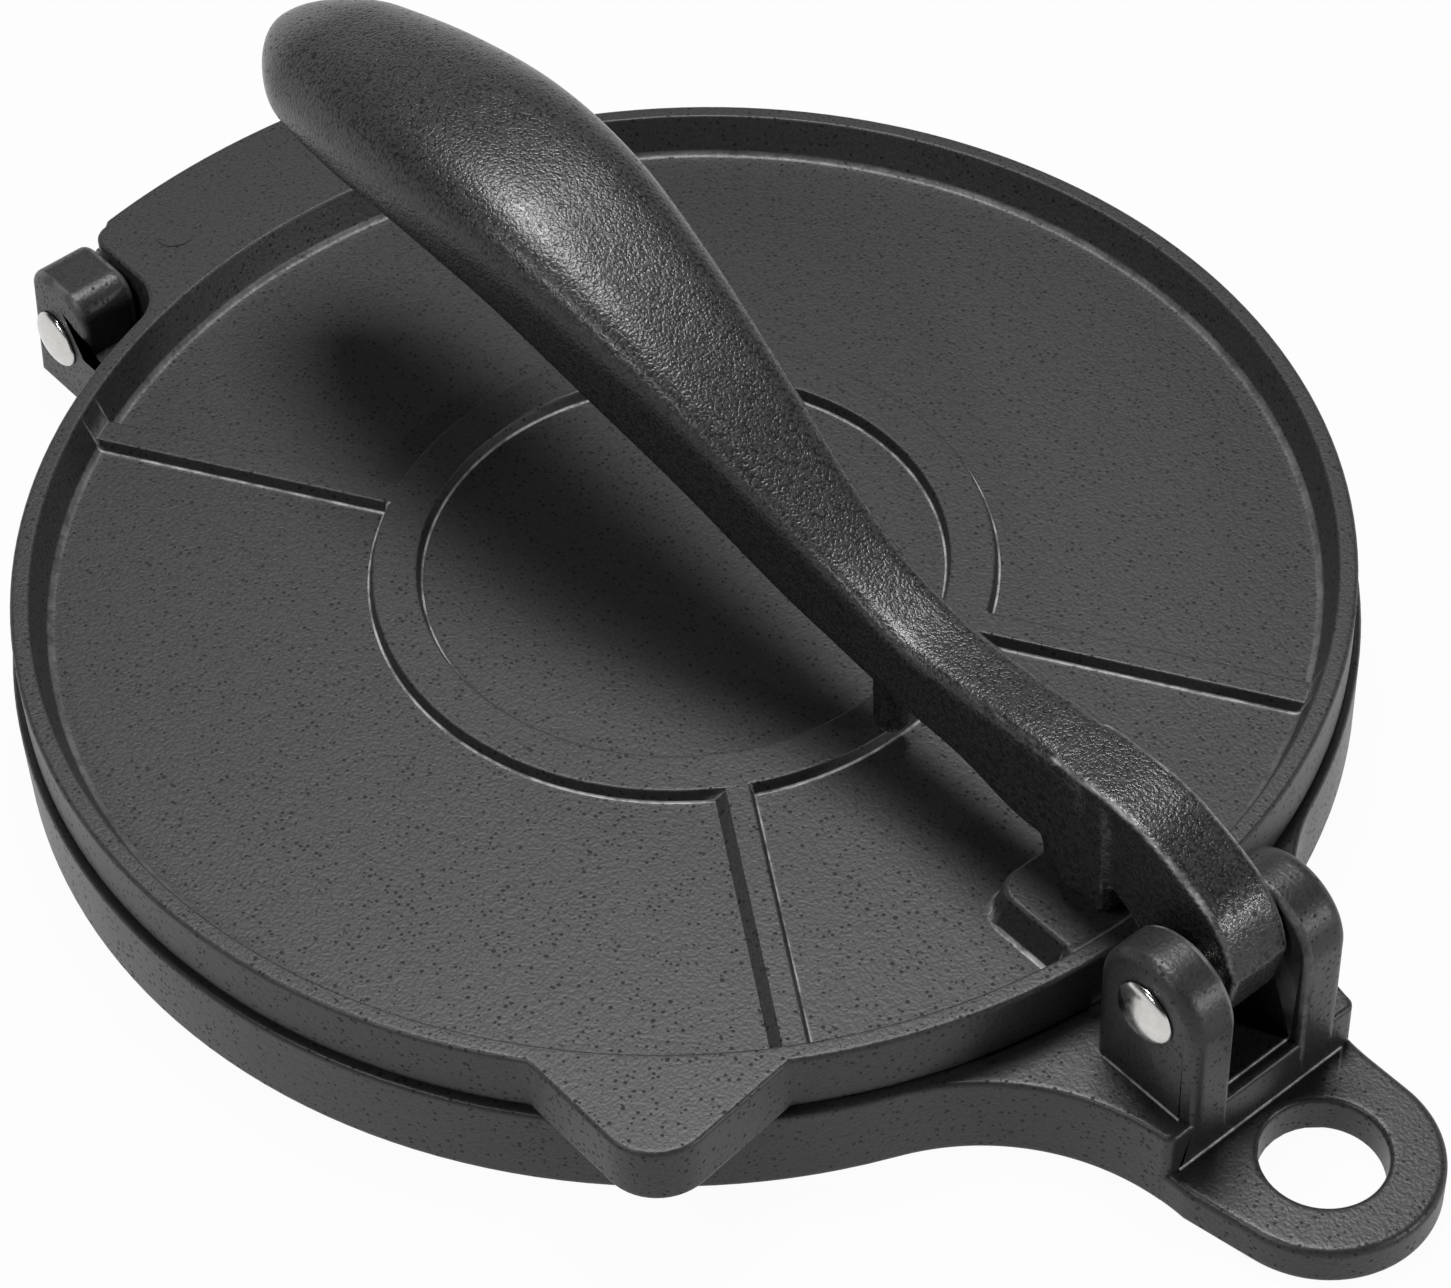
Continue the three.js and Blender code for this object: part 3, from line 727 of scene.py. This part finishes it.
def make_grip():
    """Grip and neck: rounded sections from the blunt tip to where the tail takes over."""
    rings = []
    end = lever_stations[-1][0]
    for step in range(grip_steps + 1):
        share = end * (step / grip_steps) ** tip_crowding
        from_tip = share * lever_reach
        capped = min(max(from_tip / tip_round, 0.004), 1)
        cap = math.sqrt(1 - (1 - capped) ** 2)
        width = between_stations(1, share) * lever_half * cap
        top = between_stations(2, share) * lever_crown
        bottom = between_stations(3, share) * lever_crown
        power = between_stations(4, share)
        middle = bottom + (top - bottom) * section_middle
        ring = []
        for k in range(grip_sides):
            a = 2 * math.pi * k / grip_sides
            across, up = math.cos(a), math.sin(a)
            rise = (top - middle if up > 0 else middle - bottom) * cap ** 0.7
            ring.append((pivot_x - lever_reach + from_tip,
                         width * math.copysign(abs(across) ** (2 / power), across),
                         middle + rise * math.copysign(abs(up) ** (2 / power), up)))
        rings.append(ring)
    return shell("lever_casting", rings)


# Near side of the column in plan, from its rear to its front: two soft ridges with a flute between them
cam_side = [(67.3, 0.0), (67.5, 3.0), (69.0, 4.3), (71.2, 4.9), (72.9, 5.3), (74.4, 5.35), (75.6, 4.95),
            (76.6, 4.75), (77.5, 5.0), (78.4, 5.25), (79.3, 5.0), (80.0, 4.2), (80.2, 2.5), (80.2, 0.0)]


def make_cam():
    """The blunt fluted column under the lever, that ends in a rounded toe on the pad."""
    centre = (cam_front + cam_rear) / 2
    outline = [(x, -y) for x, y in cam_side] + [(x, y) for x, y in cam_side[-2:0:-1]]
    toe = [(0, 0.50), (0.12, 0.66), (0.3, 0.79), (0.6, 0.90), (0.9, 0.95), (1.8, 1.0)]
    levels = [(cam_bottom + cam_toe * rise, share) for rise, share in toe]
    levels += [(cam_top - 4.0, 1.0), (cam_top - 1.2, 0.92), (cam_top - 0.3, 0.86), (cam_top, 0.80)]
    rings = []
    for level, share in levels:
        rings.append([(centre + (x - centre) * share, y * share, level) for x, y in outline])
    return shell("cam", rings)


def make_peg():
    """The short round peg under the neck."""
    profile = [(peg_radius - peg_round, peg_bottom), (peg_radius, peg_bottom + peg_round),
               (peg_radius, peg_root - 3), (peg_radius, peg_root)]
    turns = [2 * math.pi * k / 32 for k in range(32)]
    return shell("peg", [[(peg_x + r * math.cos(a), r * math.sin(a), z) for a in turns] for r, z in profile])


def make_lever():
    """Grip, cam, peg and tail under one skin, so that they flow into each other as a casting does."""
    lever = make_grip()
    tail = [(pivot_x + along * tail_size, pivot_z + up * tail_size) for along, up in tail_shares]
    tail = flowing(tail, (0, tail_crease, len(tail) - 1))[::-1]
    parts = [make_cam(), slab("tail", tail, -tail_half, tail_half, *tail_rounds, "XZ"), make_peg()]
    cut_or_join(lever, parts, "UNION")
    skin = lever.modifiers.new("one skin", "REMESH")
    skin.mode = "VOXEL"
    skin.voxel_size = skin_voxel * MM
    settled(lever)
    smooth = lever.modifiers.new("soft edges", "SMOOTH")
    smooth.factor = 0.5
    smooth.iterations = 4
    settled(lever)
    return cut_or_join(lever, [make_bore(-tail_half, tail_half, pivot_x, pivot_z)], "DIFFERENCE")


def make_pin(name, near, far, x, z):
    """A pin whose two domed heads sit on the outer faces of its ears."""
    dome = [(0.05, pin_radius), (0.05, pin_head - 0.15), (head_rim, pin_head)]
    for step in range(1, 12):
        turn = step / 12 * math.pi / 2
        dome.append((head_rim + (pin_dome - head_rim) * math.sin(turn), pin_head * math.cos(turn)))
    dome.append((pin_dome, 0.2))
    profile = [(near - along, radius) for along, radius in dome[::-1]]
    profile += [(far + along, radius) for along, radius in dome]
    return lathe_y(name, profile, x, z)


# Finishes


def srgb(code):
    """A colour written as sRGB hex, as the linear values that a shader takes."""
    values = [int(code[k:k + 2], 16) / 255 for k in (0, 2, 4)]
    linear = [v / 12.92 if v <= 0.04045 else ((v + 0.055) / 1.055) ** 2.4 for v in values]
    return (*linear, 1.0)


def node(tree, kind, settings=None, **inputs):
    """Adds a node, sets its properties, and fills its sockets with values or with other nodes' outputs.

    A socket is given by its name, with _ for a space, or by its number as _0, _1 and so on.
    """
    made = tree.nodes.new(kind)
    for key, value in (settings or {}).items():
        setattr(made, key, value)
    for key, value in inputs.items():
        numbered = key[0] == "_" and key[1:].isdigit()
        socket = made.inputs[int(key[1:]) if numbered else key.replace("_", " ")]
        if isinstance(value, bpy.types.NodeSocket):
            tree.links.new(value, socket)
        else:
            socket.default_value = value
    return made


def new_material(name):
    """An empty material and its node tree."""
    material = bpy.data.materials.new(name)
    material.use_nodes = True
    material.node_tree.nodes.clear()
    return material, material.node_tree


def ramp(tree, value, low, high, out_low=0.0, out_high=1.0):
    """A plain rise from out_low to out_high as the value goes from low to high."""
    made = node(tree, "ShaderNodeMapRange", {"interpolation_type": "SMOOTHSTEP"}, Value=value)
    for socket, number in zip(("From Min", "From Max", "To Min", "To Max"), (low, high, out_low, out_high)):
        made.inputs[socket].default_value = number
    return made.outputs[0]


# Periods of the coat's patterns in millimetres. Orange peel, dots and pores have about the size of the
# real ones: a cell of dot_mm holds one dot of up to 0.5 mm, and a cell of pore_mm one pit of up to 1 mm.
# The real grain is near 0.2 mm, too fine for the picture, so grain_mm below is drawn at about twice that.
peel_mm = 0.9
dot_mm = 0.80
pore_mm = 1.15
mottle_mm = 22
chip_mm = 3.5
# Near-black colour of the gas dots and pits: painted shade inside the hollows
pit_shade_colour = "040405"
mottle = "dcdcdc"
# Paler colour along the edges, partly rub of the coat and partly a painted highlight
rub_and_highlight_colour = "a6a6a8"
# Roughness that a dot, a dull patch and a rub on an edge add to the skin's own
dot_dulls = 0.25
patch_dulls = 0.08
rub_polishes = -0.14
# Depth of the dots and pits as a share of the peel's
dot_depth = 0.3


def powder_coat(name, coat, low_tone, roughness, grain_mm, grain_share, depth_mm, pore_from):
    """Charcoal polyester powder coat, baked on die-cast aluminium.

    It gives a satin charcoal skin with fine grain and orange peel, pin dots where gas came out of
    the metal, whose near-black colour is painted shade in the hollows, and a paler, smoother band along
    the outer edges that is partly rub and partly painted highlight. Where X is beyond pore_from, in
    millimetres, the casting was porous and the dots grow to close-set pits, darkened by the same
    painted shade.
    """
    material, tree = new_material(name)
    place = node(tree, "ShaderNodeTexCoord").outputs["Object"]
    axes = node(tree, "ShaderNodeSeparateXYZ", Vector=place)
    porous = ramp(tree, axes.outputs["X"], (pore_from - 2) * MM, (pore_from + 2) * MM)
    peel = node(tree, "ShaderNodeTexNoise", Vector=place, Scale=1 / (peel_mm * MM), Detail=1.0, Roughness=0.5)
    grain = node(tree, "ShaderNodeTexNoise", Vector=place, Scale=1 / (grain_mm * MM), Detail=1.5,
                 Roughness=0.6)
    fine = ramp(tree, grain.outputs[0], 0.34, 0.62)
    # Each cell's own random colour makes its dot smaller, down to none
    cells = node(tree, "ShaderNodeTexVoronoi", Vector=place, Scale=1 / (dot_mm * MM))
    spread = node(tree, "ShaderNodeMath", {"operation": "MULTIPLY_ADD"},
                  _0=cells.outputs["Color"], _1=0.4, _2=cells.outputs["Distance"])
    dot = ramp(tree, spread.outputs[0], 0.32, 0.46)
    hollows = node(tree, "ShaderNodeTexVoronoi", Vector=place, Scale=1 / (pore_mm * MM))
    pits_and_shade = ramp(tree, hollows.outputs["Distance"], 0.20, 0.44)
    pits_and_shade = node(tree, "ShaderNodeMix", {"data_type": "FLOAT"}, _0=porous, _2=dot, _3=pits_and_shade).outputs[0]
    broad = node(tree, "ShaderNodeTexNoise", Vector=place, Scale=1 / (mottle_mm * MM), Detail=3.0,
                 Roughness=0.6)
    edge = node(tree, "ShaderNodeAttribute", {"attribute_name": "edge"}).outputs["Fac"]
    chips = node(tree, "ShaderNodeTexNoise", Vector=place, Scale=1 / (chip_mm * MM), Detail=4.0,
                 Roughness=0.7)
    # Mask of the paler edge band, partly rub and partly painted highlight, broken up by chips
    rub_and_highlight = node(tree, "ShaderNodeMath", {"operation": "MULTIPLY"},
                _0=edge, _1=ramp(tree, chips.outputs[0], 0.35, 0.65, 0.2, 1.0)).outputs[0]
    skin = node(tree, "ShaderNodeMix", {"data_type": "RGBA"}, _0=fine, _6=srgb(low_tone), _7=srgb(coat))
    # The dots and pits take the near-black colour, painted shade in the hollows over the real dip that the
    # bump gives
    pit_shaded = node(tree, "ShaderNodeMix", {"data_type": "RGBA"},
                  _0=pits_and_shade, _6=srgb(pit_shade_colour), _7=skin.outputs[2])
    toned = node(tree, "ShaderNodeMix", {"data_type": "RGBA", "blend_type": "MULTIPLY"},
                 _0=ramp(tree, broad.outputs[0], 0.3, 0.7, 0.0, 0.3), _6=pit_shaded.outputs[2], _7=srgb(mottle))
    # The paler edge colour goes on here: partly rub, partly a painted highlight
    coloured = node(tree, "ShaderNodeMix", {"data_type": "RGBA"},
                    _0=rub_and_highlight, _6=toned.outputs[2], _7=srgb(rub_and_highlight_colour))
    height = node(tree, "ShaderNodeMath", {"operation": "MULTIPLY_ADD"},
                  _0=fine, _1=grain_share, _2=peel.outputs[0]).outputs[0]
    height = node(tree, "ShaderNodeMath", {"operation": "MULTIPLY_ADD"},
                  _0=pits_and_shade, _1=dot_depth, _2=height).outputs[0]
    bump = node(tree, "ShaderNodeBump", Strength=1.0, Distance=depth_mm * MM, Height=height)
    dull = ramp(tree, pits_and_shade, 0.0, 1.0, roughness + dot_dulls, roughness)
    rough = node(tree, "ShaderNodeMath", {"operation": "MULTIPLY_ADD"},
                 _0=broad.outputs[0], _1=patch_dulls, _2=dull).outputs[0]
    glossed = node(tree, "ShaderNodeMath", {"operation": "MULTIPLY_ADD"},
                   _0=rub_and_highlight, _1=rub_polishes, _2=rough)
    shader = node(tree, "ShaderNodeBsdfPrincipled", Base_Color=coloured.outputs[2], Metallic=0.0,
                  Roughness=glossed.outputs[0], IOR=1.4, Normal=bump.outputs[0])
    node(tree, "ShaderNodeOutputMaterial", Surface=shader.outputs[0])
    return material


# Scuffs from the pins' assembly are some 1 mm long
scuff_mm = 1.2


def nickel_plate(name):
    """Bright nickel on turned steel pins: nearly a mirror, dulled here and there by small scuffs."""
    material, tree = new_material(name)
    place = node(tree, "ShaderNodeTexCoord").outputs["Object"]
    scuffs = node(tree, "ShaderNodeTexNoise", Vector=place, Scale=1 / (scuff_mm * MM), Detail=4.0,
                  Roughness=0.65)
    rough = ramp(tree, scuffs.outputs[0], 0.35, 0.75, 0.16, 0.30)
    tint = node(tree, "ShaderNodeMix", {"data_type": "RGBA"}, _0=scuffs.outputs[0],
                _6=srgb("d6d5d2"), _7=srgb("bdbcb9"))
    bump = node(tree, "ShaderNodeBump", Strength=0.35, Distance=0.01 * MM, Height=scuffs.outputs[0])
    shader = node(tree, "ShaderNodeBsdfPrincipled", Base_Color=tint.outputs[2], Metallic=1.0,
                  Roughness=rough, Normal=bump.outputs[0])
    node(tree, "ShaderNodeOutputMaterial", Surface=shader.outputs[0])
    return material


# A bend in the surface counts as an edge above the slightest angle, and is shaded as sharp above the crease
slightest = 0.12
crease = math.radians(38)
# Turn of the surface, in radians per millimetre, at which the paler band on an edge, partly rub and partly
# painted highlight, begins and is full
rub_and_highlight_begins = 0.7
rub_and_highlight_full = 1.9
# The rub and painted highlight may not run further than this along an edge of the mesh from a marked corner
# to a plain one
long_edge = 2.0


def vectors(items, key):
    """One property of all points or faces of a mesh, as rows of three numbers."""
    values = np.empty(len(items) * 3)
    items.foreach_get(key, values)
    return values.reshape(-1, 3)


def mark_edges(thing):
    """Stores, on each point, how sharply the surface turns outwards there, from 0 to 1."""
    mesh = thing.data
    places = vectors(mesh.vertices, "co")
    normals = vectors(mesh.polygons, "normal")
    centres = vectors(mesh.polygons, "center")
    sides = {}
    for polygon in mesh.polygons:
        for key in polygon.edge_keys:
            sides.setdefault(key, []).append(polygon.index)
    turn = np.zeros(len(mesh.vertices))
    sharp = set()
    for (a, b), faces in sides.items():
        if len(faces) != 2:
            continue
        first, second = faces
        angle = math.acos(max(-1, min(1, float(normals[first] @ normals[second]))))
        if angle > crease:
            sharp.add((a, b))
        between = centres[second] - centres[first]
        if angle > slightest and normals[first] @ between < 0:
            width = np.clip(np.linalg.norm(between), 0.1 * MM, 2.0 * MM)
            value = angle / width * MM
            turn[a] = max(turn[a], value)
            turn[b] = max(turn[b], value)
    for edge in mesh.edges:
        a, b = sorted(edge.vertices, key=lambda corner: turn[corner])
        if turn[a] < rub_and_highlight_begins < turn[b] and np.linalg.norm(places[a] - places[b]) > long_edge * MM:
            turn[b] = 0
    store = mesh.attributes.new("edge", "FLOAT", "POINT")
    store.data.foreach_set("value", np.clip((turn - rub_and_highlight_begins) / (rub_and_highlight_full - rub_and_highlight_begins), 0, 1))
    for edge in mesh.edges:
        edge.use_edge_sharp = tuple(sorted(edge.vertices)) in sharp


def spare_ejector_mark(plate):
    """Takes the rub and painted highlight off the fine edges of the ejector's mark, which is as dark as the
    skin round it.
    """
    edge_rub_and_highlight = plate.data.attributes["edge"].data
    middle = Vector((ejector_place[0] + disc_centre, ejector_place[1])) * MM
    for corner in plate.data.vertices:
        if (corner.co.xy - middle).length < 1.5 * ejector_radius * MM:
            edge_rub_and_highlight[corner.index].value = 0


def finished(thing, material, body, slot, *nodes):
    """Gives a piece its finish, its smooth shading and its body, and hides the node that it stands for."""
    mark_edges(thing)
    thing.data.materials.clear()
    thing.data.materials.append(material)
    thing.data.polygons.foreach_set("use_smooth", [True] * len(thing.data.polygons))
    even = thing.modifiers.new("even shading", "WEIGHTED_NORMAL")
    even.keep_sharp = True
    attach(thing, body)
    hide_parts(*nodes)
    return thing


# The two discs have no porous end, so that it begins beyond them
nowhere = 400
coat_plate = powder_coat("powder_coat_plate", "303031", "262627", roughness=0.39, grain_mm=0.45,
                         grain_share=0.35, depth_mm=0.028, pore_from=nowhere)
coat_base = powder_coat("powder_coat_base", "2b2b2c", "232324", roughness=0.36, grain_mm=0.45,
                        grain_share=0.35, depth_mm=0.028, pore_from=nowhere)
coat_lever = powder_coat("powder_coat_lever", "343435", "1a1a1b", roughness=0.22, grain_mm=0.40,
                         grain_share=0.80, depth_mm=0.038, pore_from=46.0)
nickel = nickel_plate("bright_nickel_pin")

spare_ejector_mark(finished(make_plate(), coat_plate, "press_plate", "coated_casting", "press_plate"))
finished(make_base(), coat_base, "base", "coated_casting", "base")
finished(make_lever(), coat_lever, "handle", "coated_casting", "handle")
finished(make_pin("handle_pin_nickel", near_ear[0], far_ear[1], pivot_x, pivot_z), nickel,
         "base", "nickel_pin", "handle_pin")
finished(make_pin("hinge_pin_nickel", -hinge_ear_outer, hinge_ear_outer, hinge_x, hinge_z), nickel,
         "base", "nickel_pin", "hinge_pin")

# Floor, light and camera

floor_reach = 4000.0
floor_fields = 8
# The floor glows white to the camera by this share; the rest is matt and takes the press's shadow
floor_glow = 0.96
floor_matt = "a8a8a8"
# The studio is white up to the low angle and dark from the high one, as from a dark ceiling
white_below = math.radians(5)
dark_above = math.radians(29)
ceiling = 0.03
# What the studio's white gives as light, apart from what is mirrored
ambient = 0.07


def seen_directly(tree):
    """1 where the camera or a reflection sees this surface, and 0 where it only lights the press."""
    path = node(tree, "ShaderNodeLightPath")
    seen = path.outputs["Is Camera Ray"]
    for kind in ("Is Glossy Ray", "Is Transmission Ray"):
        seen = node(tree, "ShaderNodeMath", {"operation": "ADD", "use_clamp": True},
                    _0=seen, _1=path.outputs[kind]).outputs[0]
    return seen


def make_floor():
    """A wide white floor under the press."""
    points = []
    faces = []
    line = [floor_reach * (2 * k / floor_fields - 1) for k in range(floor_fields + 1)]
    for y in line:
        points += [(x, y, 0) for x in line]
    for row in range(floor_fields):
        for column in range(floor_fields):
            a = row * len(line) + column
            faces.append((a, a + 1, a + len(line) + 1, a + len(line)))
    floor = piece("studio_floor", points, faces)
    floor.location.z = -0.02 * MM
    material, tree = new_material("white_studio_floor")
    share = node(tree, "ShaderNodeMath", {"operation": "MULTIPLY"},
                 _0=seen_directly(tree), _1=floor_glow).outputs[0]
    matt = node(tree, "ShaderNodeBsdfDiffuse", Color=srgb(floor_matt))
    white = node(tree, "ShaderNodeEmission", Color=(1, 1, 1, 1), Strength=1.0)
    both = node(tree, "ShaderNodeMixShader", _0=share, _1=matt.outputs[0], _2=white.outputs[0])
    node(tree, "ShaderNodeOutputMaterial", Surface=both.outputs[0])
    floor.data.materials.append(material)


def make_world():
    """A studio, white near the floor and dark overhead, so that the coat reads black out of the lamps."""
    world = bpy.data.worlds.new("white_studio")
    bpy.context.scene.world = world
    world.use_nodes = True
    tree = world.node_tree
    tree.nodes.clear()
    aim = node(tree, "ShaderNodeSeparateXYZ", Vector=node(tree, "ShaderNodeTexCoord").outputs["Generated"])
    dome = ramp(tree, aim.outputs["Z"], math.sin(white_below), math.sin(dark_above), 1.0, ceiling)
    level = node(tree, "ShaderNodeMath", {"operation": "MULTIPLY"}, _0=dome,
                 _1=ramp(tree, seen_directly(tree), 0.0, 1.0, ambient, 1.0)).outputs[0]
    sky = node(tree, "ShaderNodeBackground", Color=(1, 1, 1, 1), Strength=level)
    node(tree, "ShaderNodeOutputWorld", Surface=sky.outputs[0])


def softbox(name, place, aim, size, watts, turn=0.0):
    """A rectangular lamp at a place, in metres, that faces aim and is turned in its own plane."""
    data = bpy.data.lights.new(name, "AREA")
    data.shape = "RECTANGLE"
    data.size, data.size_y = size
    data.energy = watts
    lamp = bpy.data.objects.new(name, data)
    lamp.location = place
    facing = (Vector(aim) - Vector(place)).to_track_quat("-Z", "Y")
    lamp.rotation_euler = (facing @ Quaternion((0, 0, 1), math.radians(turn))).to_euler()
    bpy.context.scene.collection.objects.link(lamp)


make_floor()
make_world()
# A large soft lamp high up behind, a strip along the lever's near edge, and a small lamp on the ears
softbox("back_softbox", (-0.22, 0.17, 1.03), (0, 0, 0.02), (0.40, 0.34), 13.6)
softbox("near_strip", (-0.02, -0.66, 0.74), (0, 0, 0.04), (0.40, 0.06), 3.0, -23.0)
softbox("right_softbox", (0.95, 0.45, 0.36), (0.08, 0, 0.02), (0.08, 0.08), 3.6)

# The photograph's camera, found from the round edges of the plate and the base: where it stands, in
# millimetres from the middle of the discs, how it is turned, and its lens
camera_place = (290.5, -225.0, 390.4)
camera_turn = math.radians(-38.5)
camera_rise = math.radians(46.68)
camera_roll = math.radians(-2.64)
sensor_mm = 36.0
lens_mm = 104.56


def make_camera():
    """A camera at the photograph's own place, with its own lens."""
    turn, rise, roll = camera_turn, camera_rise, camera_roll
    back = Vector((math.cos(turn) * math.cos(rise), math.sin(turn) * math.cos(rise), math.sin(rise)))
    level = Vector((-math.sin(turn), math.cos(turn), 0))
    above = back.cross(level)
    right = level * math.cos(roll) + above * math.sin(roll)
    up = above * math.cos(roll) - level * math.sin(roll)
    data = bpy.data.cameras.new("photo_camera")
    data.sensor_fit = "HORIZONTAL"
    data.sensor_width = sensor_mm
    data.lens = lens_mm
    data.clip_start = 0.02
    data.clip_end = 10.0
    camera = bpy.data.objects.new("photo_camera", data)
    place = (Vector(camera_place) + Vector((disc_centre, 0, 0))) * MM
    axes = Matrix((right, up, back)).transposed().to_4x4()
    camera.matrix_world = Matrix.Translation(place) @ axes
    bpy.context.scene.collection.objects.link(camera)
    bpy.context.scene.camera = camera


make_camera()
bpy.context.scene.view_settings.view_transform = "Standard"
